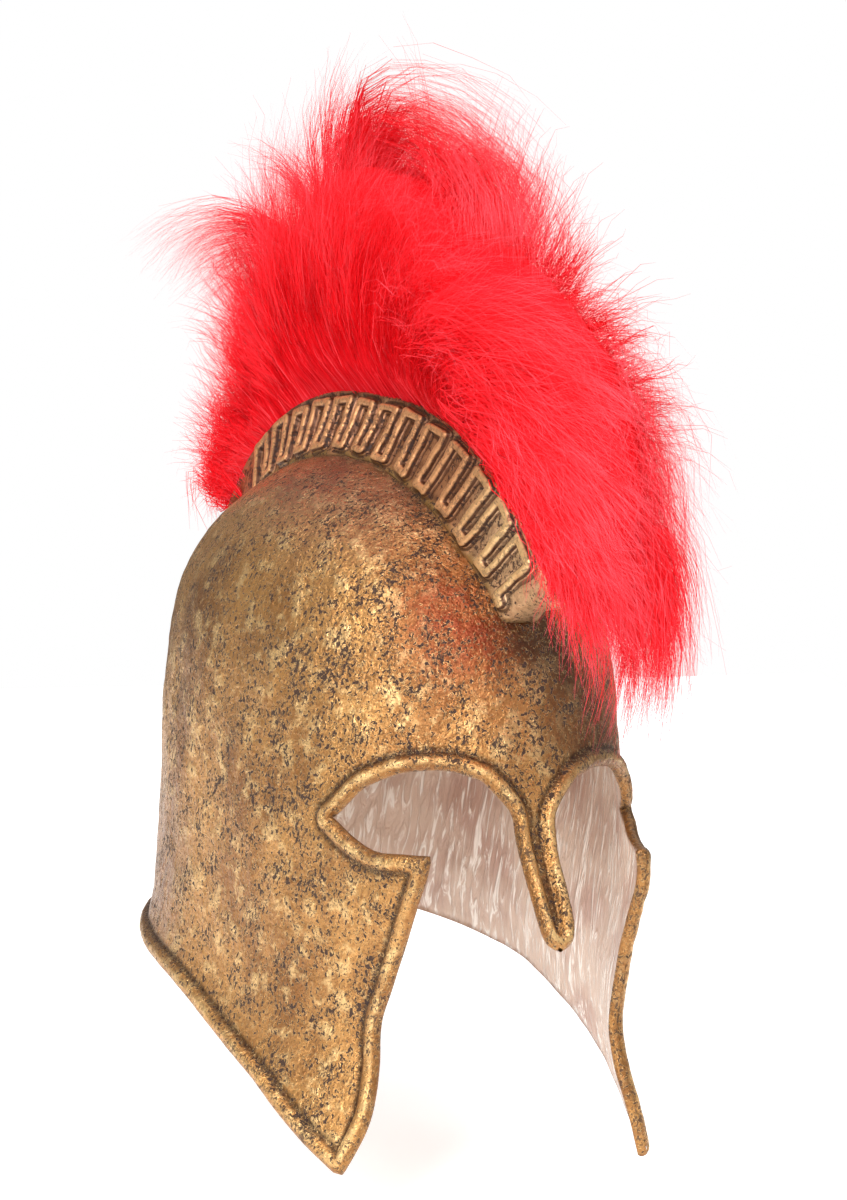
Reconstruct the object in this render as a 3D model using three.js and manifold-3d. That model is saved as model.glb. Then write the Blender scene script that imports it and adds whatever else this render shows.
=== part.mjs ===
// A Greek-style costume helmet in thin latex with a horsehair-style crest.
// Millimetres. +X is the wearer's left, -Y the front, +Z up.
// The origin is the head seat: the inside of the crown, where the helmet hangs on a head.
// Shapes are drawn in a frame whose height zero is the wearer's eye line, under the crown.
import * as THREE from "three";
import { mergeVertices } from "three/addons/utils/BufferGeometryUtils.js";
import Module from "manifold-3d";

const wasm = await Module();
wasm.setup();
const { smoothstep, degToRad, lerp } = THREE.MathUtils;

// ---- Driving dimensions ----
const WALL = 2.5;
const CROWN_HEIGHT = 117;
const HEM_CUT_HEIGHT = -132;
const GAP = 0.3;
const PLUME_CLEARANCE = 0.5;

// Raised bead that edges every opening of the shell.
const BEAD_PROUD = 2.6;
const BEAD_SINK = 0.8;

// The nasal stands forward of the brow, and the cheek guards flare at their front edges.
const NASAL_REACH = 17;
const NASAL_HALF_ANGLE = 9;
const CHEEK_FLARE = 17;
const TIP_FLARE = 7;

// Crest holder: an arched box concentric with the crown, seen as angles up from the front.
const CREST_FRONT_ANGLE = 41.3;
const CREST_BACK_ANGLE = 155;
const CREST_STEPS = 24;
const CREST_ROOT_RADIUS = 110;
const DOME_RADIUS = 117;
const CREST_FOOT = 2.2;
const CREST_EDGE = 1.6;

// Meander moulded along both sides of the crest holder.
const KEY_COUNT = 13;
const KEY_FIRST_ANGLE = 44;
const KEY_PITCH_ANGLE = 7.5;
const KEY_CAP_SHARE = 0.6;
const KEY_LINE = 2.6;
const KEY_PROUD = 1.6;
const KEY_SINK = 1.2;
const KEY_LOW = 0.16;
const KEY_HIGH = 0.86;
const KEY_SLOPE = 23;
const KEY_LEAD_SHARE = 0.2;

// ---- Shell of the skull ----
// [height, half width, reach to the front, reach to the back, squareness of the front half]
const SKULL_STATIONS = [
  [CROWN_HEIGHT, 0, 0, 0, 2],
  [115, 14, 20, 22, 2],
  [109, 29, 42, 44, 2],
  [99, 45, 62, 64, 2],
  [84, 60, 84, 84, 2],
  [65, 70, 98, 102, 2],
  [42, 75.5, 107, 113, 2.05],
  [18, 77, 116, 115, 2.15],
  [-5, 77, 126, 112, 2.3],
  [-30, 76.5, 135, 104, 2.4],
  [-55, 76.5, 138, 98, 2.4],
  [-72, 77, 137, 94, 2.4],
  [-88, 79.5, 139, 96, 2.4],
  [-105, 85, 145, 104, 2.4],
  [HEM_CUT_HEIGHT, 94, 156, 118, 2.4],
];
const ROWS_PER_STATION = 2;
const smoothThrough = (points) =>
  new THREE.CatmullRomCurve3(points, false, "catmullrom", 0.5);
const widthCurve = smoothThrough(
  SKULL_STATIONS.map(([height, half, , , square]) => new THREE.Vector3(half, square, height)),
);
const reachCurve = smoothThrough(
  SKULL_STATIONS.map(([height, , front, back]) => new THREE.Vector3(front, back, height)),
);

const nasalReach = (height) => NASAL_REACH * smoothstep(6 - height, 0, 46);

function cheekReach(height) {
  const corner = CHEEK_FLARE * Math.exp(-(((height + 4) / 28) ** 2)) * smoothstep(14 - height, 0, 18);
  return corner + TIP_FLARE * smoothstep(-67 - height, 0, 60);
}

// Point on the skull at an angle from the front (degrees, + to the wearer's left)
// and a share of the way from the crown to the hem.
function skullPoint(angle, share) {
  const side = widthCurve.getPoint(share);
  const reach = reachCurve.getPoint(share);
  const sine = Math.sin(degToRad(angle));
  const cosine = Math.cos(degToRad(angle));
  const power = 2 / (cosine > 0 ? side.y : 2);
  const x = side.x * Math.sign(sine) * Math.abs(sine) ** power;
  const along = Math.abs(cosine) ** power;
  let y = cosine > 0 ? -reach.x * along : reach.y * along;
  y -= nasalReach(side.z) * Math.exp(-((angle / NASAL_HALF_ANGLE) ** 4));
  const onCheek = smoothstep(58 - Math.abs(angle), 0, 25) * smoothstep(Math.abs(angle) - 12, 0, 12);
  y -= cheekReach(side.z) * onCheek;
  return new THREE.Vector3(x, y, side.z);
}

function skullNormal(angle, share) {
  if (share === 0) return new THREE.Vector3(0, 0, 1);
  const low = Math.max(share - 0.004, 0.0005);
  const high = Math.min(share + 0.004, 1);
  const around = skullPoint(angle + 0.5, share).sub(skullPoint(angle - 0.5, share));
  const down = skullPoint(angle, high).sub(skullPoint(angle, low));
  return down.cross(around).normalize();
}

// Columns are closer together over the nasal and the cheek guards.
function skullAngles() {
  const half = [];
  for (let angle = 0; angle < 15; angle += 3) half.push(angle);
  for (let angle = 15; angle < 60; angle += 5) half.push(angle);
  for (let angle = 60; angle < 180; angle += 8) half.push(angle);
  return [...half.slice(1).map((angle) => -angle).reverse(), ...half, 180];
}

// A solid from a closed mesh, turned the right way out if a mapping has mirrored it.
function toSolid(geometry) {
  const bare = geometry.clone();
  bare.deleteAttribute("normal");
  bare.deleteAttribute("uv");
  const merged = mergeVertices(bare, 1e-4);
  const vertProperties = merged.attributes.position.array;
  const triVerts = new Uint32Array(merged.index.array);
  const make = () => new wasm.Manifold(new wasm.Mesh({ numProp: 3, vertProperties, triVerts }));
  const solid = make();
  if (solid.volume() > 0) return solid;
  for (let i = 0; i < triVerts.length; i += 3) {
    [triVerts[i + 1], triVerts[i + 2]] = [triVerts[i + 2], triVerts[i + 1]];
  }
  return make();
}

function fromPoints(points, triangles) {
  const geometry = new THREE.BufferGeometry().setFromPoints(points);
  geometry.setIndex(triangles.flat());
  return toSolid(geometry);
}

function toGeometry(solid) {
  const mesh = solid.getMesh();
  const geometry = new THREE.BufferGeometry();
  geometry.setAttribute("position", new THREE.BufferAttribute(mesh.vertProperties, 3));
  geometry.setIndex(new THREE.BufferAttribute(mesh.triVerts, 1));
  geometry.computeVertexNormals();
  return geometry;
}

// Closed wall between two offsets of the skull surface, open at the hem,
// or solid right through when the inner offset is null.
function skullLayer(outer, inner) {
  const angles = skullAngles();
  const rows = (SKULL_STATIONS.length - 1) * ROWS_PER_STATION;
  const points = [];
  const triangles = [];
  const columns = angles.length;
  const addSheet = (offset, outward) => {
    const pole = points.length;
    points.push(skullPoint(0, 0).add(new THREE.Vector3(0, 0, offset)));
    for (let row = 1; row <= rows; row++) {
      for (const angle of angles) {
        const share = row / rows;
        points.push(skullPoint(angle, share).addScaledVector(skullNormal(angle, share), offset));
      }
    }
    const at = (row, column) => pole + 1 + (row - 1) * columns + (column % columns);
    const add = (a, b, c) => triangles.push(outward ? [a, b, c] : [a, c, b]);
    for (let column = 0; column < columns; column++) {
      add(pole, at(1, column), at(1, column + 1));
      for (let row = 1; row < rows; row++) {
        add(at(row, column), at(row + 1, column), at(row + 1, column + 1));
        add(at(row, column), at(row + 1, column + 1), at(row, column + 1));
      }
    }
    return (column) => at(rows, column);
  };
  const outerHem = addSheet(outer, true);
  if (inner === null) {
    const centre = points.length;
    points.push(new THREE.Vector3(0, 0, HEM_CUT_HEIGHT));
    for (let column = 0; column < columns; column++)
      triangles.push([outerHem(column), centre, outerHem(column + 1)]);
    return fromPoints(points, triangles);
  }
  const innerHem = addSheet(inner, false);
  for (let column = 0; column < columns; column++) {
    triangles.push([outerHem(column), innerHem(column), innerHem(column + 1)]);
    triangles.push([outerHem(column), innerHem(column + 1), outerHem(column + 1)]);
  }
  return fromPoints(points, triangles);
}

// Outline points: a smooth stretch through the given places.
function stretch(places, steps) {
  const curve = new THREE.SplineCurve(places.map(([a, b]) => new THREE.Vector2(a, b)));
  return curve.getPoints(steps);
}

// The face opening, seen from the front as [x, height], nasal tip to cheek tip.
const FACE_EDGE = [
  [[0, -32.5], [4.8, -29.5], [6.7, -23], [7.2, -10], [7.6, 2], [9.2, 11], [19.3, 21.3]],
  [[19.3, 21.3], [29.3, 23.6], [38.5, 22.6], [46.9, 19.4], [55, 12.9], [60, 6.2], [64, -2.4]],
  [[64, -2.4], [60.6, -7.2], [57, -9], [52, -6.6], [46, -4.4]],
  [[46, -4.4], [47.8, -20], [48.5, -43], [50.8, -70], [52, -88], [56.6, -105], [66, -126]],
];

// The far side of the bead round that opening.
const FACE_CREASE = [
  [[0, -27], [1, -22], [1.2, -8], [1.9, 4], [3.6, 12], [6, 17.5], [10.6, 22.5]],
  [[10.6, 22.5], [18.5, 27.9], [28.5, 30.4], [38, 29.4], [46.5, 25.6], [55, 17.8], [62.6, 6.6], [67, -2]],
  [[67, -2], [63.5, -11.5], [57.5, -15.5], [53.2, -14]],
  [[53.2, -14], [54.4, -30], [56, -56], [57.6, -80], [60.6, -97], [68, -113], [80, -128.5]],
];

// The hem, seen from the side as [y, height], cheek tip to nape.
const HEM_EDGE = [
  [-127, -128], [-117.5, -124.6], [-103.6, -119.6], [-87.4, -113], [-65.6, -104.6], [-35, -97],
  [0, -90.5], [32, -89], [70, -87], [120, -86],
];
const HEM_BEAD = 7;
const OUTLINE_STEPS = 9;
const HEM_STEPS = 24;
const REACH = 230;

// A block that runs straight forward, with the given half outline mirrored.
function frontCutter(stretches) {
  const half = stretches.flatMap((places, i) => stretch(places, OUTLINE_STEPS).slice(i ? 1 : 0));
  const last = half[half.length - 1];
  half.push(new THREE.Vector2(last.x, HEM_CUT_HEIGHT - 20));
  const mirrored = half.slice(1).map((p) => new THREE.Vector2(-p.x, p.y)).reverse();
  const outline = new THREE.Shape([...half, ...mirrored]);
  const block = new THREE.ExtrudeGeometry(outline, { depth: REACH, bevelEnabled: false });
  block.rotateX(Math.PI / 2);
  block.translate(0, -30, 0);
  return toSolid(block);
}

// A block under the hem, right across the helmet.
function hemCutter(raise) {
  const line = stretch(HEM_EDGE, HEM_STEPS).map((p) => new THREE.Vector2(p.x, p.y + raise));
  const floor = HEM_CUT_HEIGHT - 20;
  line.push(new THREE.Vector2(REACH, line[line.length - 1].y));
  line.push(new THREE.Vector2(REACH, floor), new THREE.Vector2(-REACH, floor));
  line.push(new THREE.Vector2(-REACH, line[0].y - 4));
  const block = new THREE.ExtrudeGeometry(new THREE.Shape(line), {
    depth: 2 * REACH,
    bevelEnabled: false,
  });
  block.rotateX(Math.PI / 2);
  block.rotateZ(Math.PI / 2);
  block.translate(-REACH, 0, 0);
  return toSolid(block);
}

function makeShell() {
  const faceOpening = frontCutter(FACE_EDGE);
  const belowHem = hemCutter(0);
  const beadStrips = frontCutter(FACE_CREASE).add(hemCutter(HEM_BEAD));
  const bead = skullLayer(BEAD_PROUD, -BEAD_SINK).intersect(beadStrips);
  return skullLayer(0, -WALL).add(bead).subtract(faceOpening).subtract(belowHem);
}

// ---- Crest holder ----
// [angle, radius of the top edge, half width at the dome, half width at the top]
const CREST_STATIONS = [
  [CREST_FRONT_ANGLE, 152.5, 8, 6.5],
  [54, 150.5, 13, 8],
  [72, 144, 17.5, 9.5],
  [90, 138.5, 20.5, 11],
  [100, 137, 21.5, 11.5],
  [116, 139, 22.5, 12],
  [136, 142, 21, 12],
  [CREST_BACK_ANGLE, 142, 18, 11],
];
const crestCurve = smoothThrough(
  CREST_STATIONS.map(([angle, top, base]) => new THREE.Vector3(angle, top, base)),
);
const crestTopCurve = smoothThrough(
  CREST_STATIONS.map(([angle, , , half]) => new THREE.Vector3(angle, half, 0)),
);

// Share of the crest curves at which an angle is reached.
function crestShare(angle) {
  let low = 0;
  let high = 1;
  for (let i = 0; i < 30; i++) {
    const middle = (low + high) / 2;
    if (crestCurve.getPoint(middle).x < angle) low = middle;
    else high = middle;
  }
  return (low + high) / 2;
}

function crestSizes(angle) {
  const share = crestShare(angle);
  const { y: top, z: baseHalf } = crestCurve.getPoint(share);
  return { top, baseHalf, topHalf: crestTopCurve.getPoint(share).y };
}

// A point in the upright plane through the crown's centre at an angle up from the front.
function radial(angle, radius, x) {
  const turn = degToRad(angle);
  return new THREE.Vector3(x, -radius * Math.cos(turn), radius * Math.sin(turn));
}

// A point on the sloping side: height 0 at its foot and 1 at its top edge,
// standing proud along the slope's normal.
function crestSidePoint(angle, height, proud, side) {
  const [, , [footHalf, footRadius], [edgeHalf, edgeRadius]] = crestSection(angle);
  const rise = edgeRadius - footRadius;
  const inward = footHalf - edgeHalf;
  const slope = Math.hypot(rise, inward);
  const x = lerp(footHalf, edgeHalf, height) + (proud * rise) / slope;
  return radial(angle, footRadius + rise * height + (proud * inward) / slope, side * x);
}

// Half section of the crest holder at an angle, [half width, radius], root to top.
// Its foot spreads on to the dome, and its top edges are rounded off.
function crestSection(angle) {
  const { top, baseHalf, topHalf } = crestSizes(angle);
  return [
    [baseHalf, CREST_ROOT_RADIUS],
    [baseHalf, DOME_RADIUS],
    [baseHalf - CREST_FOOT, DOME_RADIUS + CREST_FOOT],
    [topHalf, top - CREST_EDGE],
    [topHalf - CREST_EDGE, top],
  ];
}

// Solid skin over a row of equal closed sections.
function loft(sections) {
  const size = sections[0].length;
  const points = sections.flat();
  const triangles = [];
  for (let i = 0; i + 1 < sections.length; i++) {
    for (let j = 0; j < size; j++) {
      const a = i * size + j;
      const b = i * size + ((j + 1) % size);
      triangles.push([a, b, b + size], [a, b + size, a + size]);
    }
  }
  const last = (sections.length - 1) * size;
  for (let j = 1; j + 1 < size; j++) {
    triangles.push([0, j + 1, j], [last, last + j, last + j + 1]);
  }
  return fromPoints(points, triangles);
}

// Both halves of a section as one closed ring of points.
const closedRing = (half, place) => [
  ...half.map((p) => place(p, 1)),
  ...half.map((p) => place(p, -1)).reverse(),
];

// The meander's line on a flat strip: up one leg, along the cap, down, and along the foot to the next.
function keyLine(pitch, slope) {
  const low = KEY_LOW * slope;
  const high = KEY_HIGH * slope;
  const line = [new THREE.Vector2(-KEY_LEAD_SHARE * pitch, low)];
  for (let i = 0; i < KEY_COUNT; i++) {
    const start = i * pitch;
    const end = (i + KEY_CAP_SHARE) * pitch;
    line.push(new THREE.Vector2(start, low), new THREE.Vector2(start, high));
    line.push(new THREE.Vector2(end, high), new THREE.Vector2(end, low));
  }
  return line;
}

// Thickens a line whose corners are all square into a closed outline.
function thicken(line, half) {
  const left = [];
  const right = [];
  line.forEach((p, i) => {
    const into = p.clone().sub(line[i - 1] ?? p).normalize();
    const out = (line[i + 1] ?? p).clone().sub(p).normalize();
    const across = new THREE.Vector2(-into.y - out.y, into.x + out.x).multiplyScalar(half);
    left.push(p.clone().add(across));
    right.push(p.clone().sub(across));
  });
  return new THREE.Shape([...left, ...right.reverse()]);
}

// The flat strip, bent on to one side of the crest holder.
function makeMeander(side) {
  const pitch = degToRad(KEY_PITCH_ANGLE) * DOME_RADIUS;
  const line = keyLine(pitch, KEY_SLOPE);
  const depth = KEY_PROUD + KEY_SINK;
  const strip = new THREE.ExtrudeGeometry(thicken(line, KEY_LINE / 2), { depth, bevelEnabled: false });
  const place = strip.attributes.position;
  for (let i = 0; i < place.count; i++) {
    const angle = KEY_FIRST_ANGLE + (place.getX(i) / pitch) * KEY_PITCH_ANGLE;
    const height = place.getY(i) / KEY_SLOPE;
    const point = crestSidePoint(angle, height, place.getZ(i) - KEY_SINK, side);
    place.setXYZ(i, point.x, point.y, point.z);
  }
  return toSolid(strip);
}

function makeCrestHolder() {
  const sections = [];
  for (let i = 0; i <= CREST_STEPS; i++) {
    const angle = lerp(CREST_FRONT_ANGLE, CREST_BACK_ANGLE, i / CREST_STEPS);
    const place = ([x, radius], side) => radial(angle, radius, side * x);
    sections.push(closedRing(crestSection(angle), place));
  }
  const box = loft(sections).add(makeMeander(1)).add(makeMeander(-1));
  return box.subtract(skullLayer(GAP, null));
}

// ---- Plume ----
// [angle of the foot on the crest, tip y, tip height, half width of the belly]
const PLUME_STATIONS = [
  [42.6, -170, 62, 20],
  [47, -182, 88, 28],
  [53, -181, 122, 34],
  [60, -172, 154, 36],
  [68, -142, 186, 36],
  [77, -94, 216, 36],
  [86, -44, 247, 35],
  [95, 8, 259, 35],
  [105, 56, 254, 36],
  [114, 100, 235, 36],
  [122, 146, 204, 31],
  [129, 188, 160, 24],
  [137, 150, 134, 27],
  [146, 144, 106, 27],
  [154, 142, 74, 20],
];
// Section of the plume: [share of the belly's half width, share of the way from foot to tip].
const PLUME_SECTION = [
  [0.66, 0.13], [0.9, 0.3], [1, 0.52], [0.88, 0.76], [0.58, 0.92], [0.14, 1],
];
const PLUME_STEPS = 30;
// The fur's backing lies a little inside the holder's top edges.
const PLUME_FOOT_INSET = 2.6;

function makePlume() {
  const tipCurve = smoothThrough(PLUME_STATIONS.map(([, y, z, belly]) => new THREE.Vector3(belly, y, z)));
  const footCurve = smoothThrough(PLUME_STATIONS.map(([angle]) => new THREE.Vector3(angle, 0, 0)));
  const sections = [];
  for (let i = 0; i <= PLUME_STEPS; i++) {
    const share = i / PLUME_STEPS;
    const angle = footCurve.getPoint(share).x;
    const { top, topHalf } = crestSizes(angle);
    const foot = radial(angle, top + PLUME_CLEARANCE, 0);
    const tip = tipCurve.getPoint(share);
    const half = [[(topHalf - PLUME_FOOT_INSET) / tip.x, 0], ...PLUME_SECTION];
    const place = ([across, up], side) =>
      new THREE.Vector3(side * across * tip.x, lerp(foot.y, tip.y, up), lerp(foot.z, tip.z, up));
    sections.push(closedRing(half, place));
  }
  return loft(sections);
}

// ---- Assembly ----
const bronze = new THREE.MeshStandardMaterial({ color: 0x9a7430, roughness: 0.5, metalness: 0.55 });
const agedGold = new THREE.MeshStandardMaterial({ color: 0xa88a48, roughness: 0.5, metalness: 0.5 });
const redFur = new THREE.MeshStandardMaterial({ color: 0xf0202c, roughness: 0.9, metalness: 0 });

const helmet = new THREE.Group();
helmet.position.z = WALL - CROWN_HEIGHT;

function addPiece(name, solid, material) {
  const piece = new THREE.Mesh(toGeometry(solid), material);
  piece.name = name;
  helmet.add(piece);
}

addPiece("shell", makeShell(), bronze);
addPiece("crest_holder", makeCrestHolder(), agedGold);
addPiece("plume", makePlume(), redFur);

const group = new THREE.Group();
group.add(helmet);
export default group;
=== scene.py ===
import math

import bmesh
import bpy
import numpy as np
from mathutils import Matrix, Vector, geometry, kdtree, noise
from mathutils.bvhtree import BVHTree


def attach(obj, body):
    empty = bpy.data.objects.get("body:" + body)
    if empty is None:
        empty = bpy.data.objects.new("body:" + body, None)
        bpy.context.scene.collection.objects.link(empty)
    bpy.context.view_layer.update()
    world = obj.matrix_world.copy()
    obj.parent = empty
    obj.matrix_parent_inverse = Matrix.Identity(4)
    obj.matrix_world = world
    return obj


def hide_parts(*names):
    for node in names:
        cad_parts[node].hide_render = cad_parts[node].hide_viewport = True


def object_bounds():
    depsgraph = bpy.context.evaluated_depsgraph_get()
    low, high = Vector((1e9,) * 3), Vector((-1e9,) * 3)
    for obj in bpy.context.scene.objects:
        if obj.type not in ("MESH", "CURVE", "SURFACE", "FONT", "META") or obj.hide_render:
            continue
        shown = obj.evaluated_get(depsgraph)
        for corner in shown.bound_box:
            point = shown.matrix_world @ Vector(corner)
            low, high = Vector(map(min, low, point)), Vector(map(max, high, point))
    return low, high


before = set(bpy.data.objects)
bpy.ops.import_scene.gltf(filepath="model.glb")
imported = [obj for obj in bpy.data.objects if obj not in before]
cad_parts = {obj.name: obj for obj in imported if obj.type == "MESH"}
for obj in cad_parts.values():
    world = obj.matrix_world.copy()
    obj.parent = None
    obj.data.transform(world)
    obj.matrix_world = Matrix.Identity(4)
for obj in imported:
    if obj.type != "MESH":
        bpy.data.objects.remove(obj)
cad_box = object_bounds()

MM = 0.001
SEAT_HEIGHT = 114.5
BODY = "root"


def placed(points):
    """Millimetres over the eye line to metres over the head seat."""
    return (np.asarray(points, float) - (0, 0, SEAT_HEIGHT)) * MM


def smoothstep(value, low, high):
    share = np.clip((np.asarray(value, float) - low) / (high - low), 0, 1)
    return share * share * (3 - 2 * share)


def blend(first, second, share):
    return first + (second - first) * share


def through(stations, share, held=False):
    """Point at a share of the way along a smooth curve through rows of numbers."""
    rows = np.asarray(stations, float)
    before = rows[0] if held else 2 * rows[0] - rows[1]
    after = rows[-1] if held else 2 * rows[-1] - rows[-2]
    padded = np.vstack([before, rows, after])
    place = np.clip(share, 0, 1) * (len(rows) - 1)
    i = np.minimum(place.astype(int), len(rows) - 2)
    t = (place - i)[..., None]
    a, b, c, d = padded[i], padded[i + 1], padded[i + 2], padded[i + 3]
    return b + 0.5 * t * ((c - a) + t * ((2 * a - 5 * b + 4 * c - d) + t * (3 * (b - c) + d - a)))


def lengths_along(points):
    steps = np.linalg.norm(np.diff(points, axis=0), axis=1)
    return np.concatenate([[0], np.cumsum(steps)])


def evenly(points, spacing):
    """The same line with its points an even distance apart."""
    lengths = lengths_along(points)
    count = max(2, round(lengths[-1] / spacing))
    wanted = np.linspace(0, lengths[-1], count + 1)
    return np.stack([np.interp(wanted, lengths, column) for column in points.T], -1)


def drawn(places, spacing):
    return evenly(through(places, np.linspace(0, 1, 400), held=True), spacing)


def soft_noise(points, size, seed=0.0):
    """Smooth noise from -1 to 1 at points, with lumps of a size."""
    return np.array([noise.noise(Vector(p) / size + Vector((seed, 0, 0))) for p in points])


def unit(vectors):
    return vectors / np.maximum(np.linalg.norm(vectors, axis=-1, keepdims=True), 1e-9)


# ---- Meshes ----
def new_object(name, data):
    piece = bpy.data.objects.new(name, data)
    bpy.context.scene.collection.objects.link(piece)
    return piece


def face_outward(piece):
    shape = bmesh.new()
    shape.from_mesh(piece.data)
    bmesh.ops.recalc_face_normals(shape, faces=shape.faces)
    shape.to_mesh(piece.data)
    shape.free()


def make_mesh_object(name, points, faces, attributes=None, finishes=(), finish_of_face=None):
    """A smooth-shaded object from points drawn over the eye line, with its doubled points merged."""
    mesh = bpy.data.meshes.new(name)
    mesh.from_pydata(placed(points).tolist(), [], [list(map(int, face)) for face in faces])
    for label, values in (attributes or {}).items():
        layer = mesh.attributes.new(label, "FLOAT", "POINT")
        layer.data.foreach_set("value", np.asarray(values, np.float32))
    for finish in finishes:
        mesh.materials.append(finish)
    if finish_of_face is not None:
        mesh.polygons.foreach_set("material_index", np.asarray(finish_of_face, np.int32))
    shape = bmesh.new()
    shape.from_mesh(mesh)
    bmesh.ops.remove_doubles(shape, verts=shape.verts, dist=2e-6)
    for face in shape.faces:
        face.smooth = True
    shape.to_mesh(mesh)
    shape.free()
    return new_object(name, mesh)


def grid_faces(rows, columns, first=0, closed=False):
    """Quads over rows of points, each row joined to itself when it is closed."""
    across = columns if closed else columns - 1
    row, column = np.meshgrid(np.arange(rows - 1), np.arange(across), indexing="ij")
    here = first + row * columns + column
    beside = first + row * columns + (column + 1) % columns
    quads = np.stack([here, here + columns, beside + columns, beside], -1)
    return quads.reshape(-1, 4)


def capped_tube(rows, around):
    """Faces of a tube of closed rows, whose two end centres follow its own points."""
    faces = [tuple(face) for face in grid_faces(rows, around, closed=True)]
    centre = rows * around
    last = centre - around
    for i in range(around):
        after = (i + 1) % around
        faces.append((centre, i, after))
        faces.append((centre + 1, last + after, last + i))
    return faces


def stands_for(piece, node):
    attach(piece, BODY)
    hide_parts(node)


# ---- Skull form ----
WALL = 2.5
# [height, half width, reach to the front, reach to the back, squareness of the front half]
SKULL_STATIONS = [
    [117, 0, 0, 0, 2],
    [115, 14, 20, 22, 2],
    [109, 29, 42, 44, 2],
    [99, 45, 62, 64, 2],
    [84, 60, 84, 84, 2],
    [65, 70, 98, 102, 2],
    [42, 75.5, 107, 113, 2.05],
    [18, 77, 116, 115, 2.15],
    [-5, 77, 126, 112, 2.3],
    [-30, 76.5, 135, 104, 2.4],
    [-55, 76.5, 138, 98, 2.4],
    [-72, 77, 137, 94, 2.4],
    [-88, 79.5, 139, 96, 2.4],
    [-105, 85, 145, 104, 2.4],
    [-132, 94, 156, 118, 2.4],
]
NASAL_REACH = 17
NASAL_HALF_ANGLE = 9
CHEEK_FLARE = 17
TIP_FLARE = 7
DOME_STATION = 6
DOME_SHARE = DOME_STATION / (len(SKULL_STATIONS) - 1)
DOME_FOOT = SKULL_STATIONS[DOME_STATION][0]
SHARES = np.linspace(0, 1, 2801)
HEIGHTS = through(SKULL_STATIONS, SHARES)[:, 0]


def share_at(height):
    return np.interp(-np.asarray(height, float), -HEIGHTS, SHARES)


def nasal_reach(height):
    return NASAL_REACH * smoothstep(6 - height, 0, 46)


def cheek_reach(height):
    corner = CHEEK_FLARE * np.exp(-(((height + 4) / 28) ** 2)) * smoothstep(14 - height, 0, 18)
    return corner + TIP_FLARE * smoothstep(-67 - height, 0, 60)


def skull_point(angle, share):
    """Point on the skull at an angle from the front and a share of the way from crown to hem."""
    angle, share = np.broadcast_arrays(np.asarray(angle, float), share)
    height, half, front, back, square = np.moveaxis(through(SKULL_STATIONS, share), -1, 0)
    sine = np.sin(np.radians(angle))
    cosine = np.cos(np.radians(angle))
    power = 2 / np.where(cosine > 0, square, 2)
    x = half * np.sign(sine) * np.abs(sine) ** power
    along = np.abs(cosine) ** power
    y = np.where(cosine > 0, -front * along, back * along)
    y = y - nasal_reach(height) * np.exp(-((angle / NASAL_HALF_ANGLE) ** 4))
    on_cheek = smoothstep(58 - np.abs(angle), 0, 25) * smoothstep(np.abs(angle) - 12, 0, 12)
    y = y - cheek_reach(height) * on_cheek
    return np.stack([x, y, height], -1)


def skull_normal(angle, share):
    low = np.maximum(share - 0.004, 0.0005)
    high = np.minimum(share + 0.004, 1)
    around = skull_point(angle + 0.5, share) - skull_point(angle - 0.5, share)
    down = skull_point(angle, high) - skull_point(angle, low)
    return unit(np.cross(down, around))


# Lengths round a plain section of the skull, so that lattices on it are even.
ANGLES = np.linspace(0, 180, 3601)


def girth_table():
    sine = np.sin(np.radians(ANGLES))
    cosine = np.cos(np.radians(ANGLES))
    power = 2 / np.where(cosine > 0, 2.35, 2)
    y = np.where(cosine > 0, -128, 108) * np.abs(cosine) ** power
    return lengths_along(np.stack([77 * sine ** power, y], -1))


GIRTHS = girth_table()
HALF_GIRTH = GIRTHS[-1]


def girth_at(angle):
    return np.sign(angle) * np.interp(np.abs(angle), ANGLES, GIRTHS)


def angle_at(girth):
    return np.sign(girth) * np.interp(np.abs(girth), GIRTHS, ANGLES)


def on_skull(flat):
    """Points of the flat pattern [girth, height] on the skull."""
    return skull_point(angle_at(flat[:, 0]), share_at(flat[:, 1]))


def normals_on_skull(flat):
    return skull_normal(angle_at(flat[:, 0]), share_at(flat[:, 1]))


# ---- Edges of the shell ----
# Half of the face opening from the front, [x, height], nasal tip to cheek tip.
FACE_EDGE = [
    [[0, -32.5], [4.8, -29.5], [6.7, -23], [7.2, -10], [7.6, 2], [9.2, 11], [19.3, 21.3]],
    [[19.3, 21.3], [29.3, 23.6], [38.5, 22.6], [46.9, 19.4], [55, 12.9], [60, 6.2], [64, -2.4]],
    [[64, -2.4], [60.6, -7.2], [57, -9], [52, -6.6], [46, -4.4]],
    [[46, -4.4], [47.8, -20], [48.5, -43], [50.8, -70], [52, -88], [56.6, -105], [66, -126]],
]
# The hem from the side, [y, height], cheek tip to nape.
HEM_EDGE = [
    [-127, -128], [-117.5, -124.6], [-103.6, -119.6], [-87.4, -113], [-65.6, -104.6], [-35, -97],
    [0, -90.5], [32, -89], [70, -87], [120, -86],
]
EDGE_STEP = 1.4
SIDE_ANGLES = np.linspace(30, 180, 601)


def face_line():
    stretches = [drawn(places, EDGE_STEP) for places in FACE_EDGE]
    line = np.vstack([stretches[0]] + [stretch[1:] for stretch in stretches[1:]])
    _, half, _, _, square = np.moveaxis(through(SKULL_STATIONS, share_at(line[:, 1])), -1, 0)
    sine = (line[:, 0] / half) ** (square / 2)
    return np.stack([girth_at(np.degrees(np.arcsin(sine))), line[:, 1]], -1)


def hem_line(start_girth):
    line = []
    for y, height in drawn(HEM_EDGE, EDGE_STEP):
        reaches = skull_point(SIDE_ANGLES, share_at(height))[:, 1]
        girth = float(girth_at(np.interp(y, reaches, SIDE_ANGLES)))
        if start_girth + EDGE_STEP < girth < HALF_GIRTH - EDGE_STEP:
            line.append([girth, height])
    line.append([HALF_GIRTH, line[-1][1]])
    return np.array(line)


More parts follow.
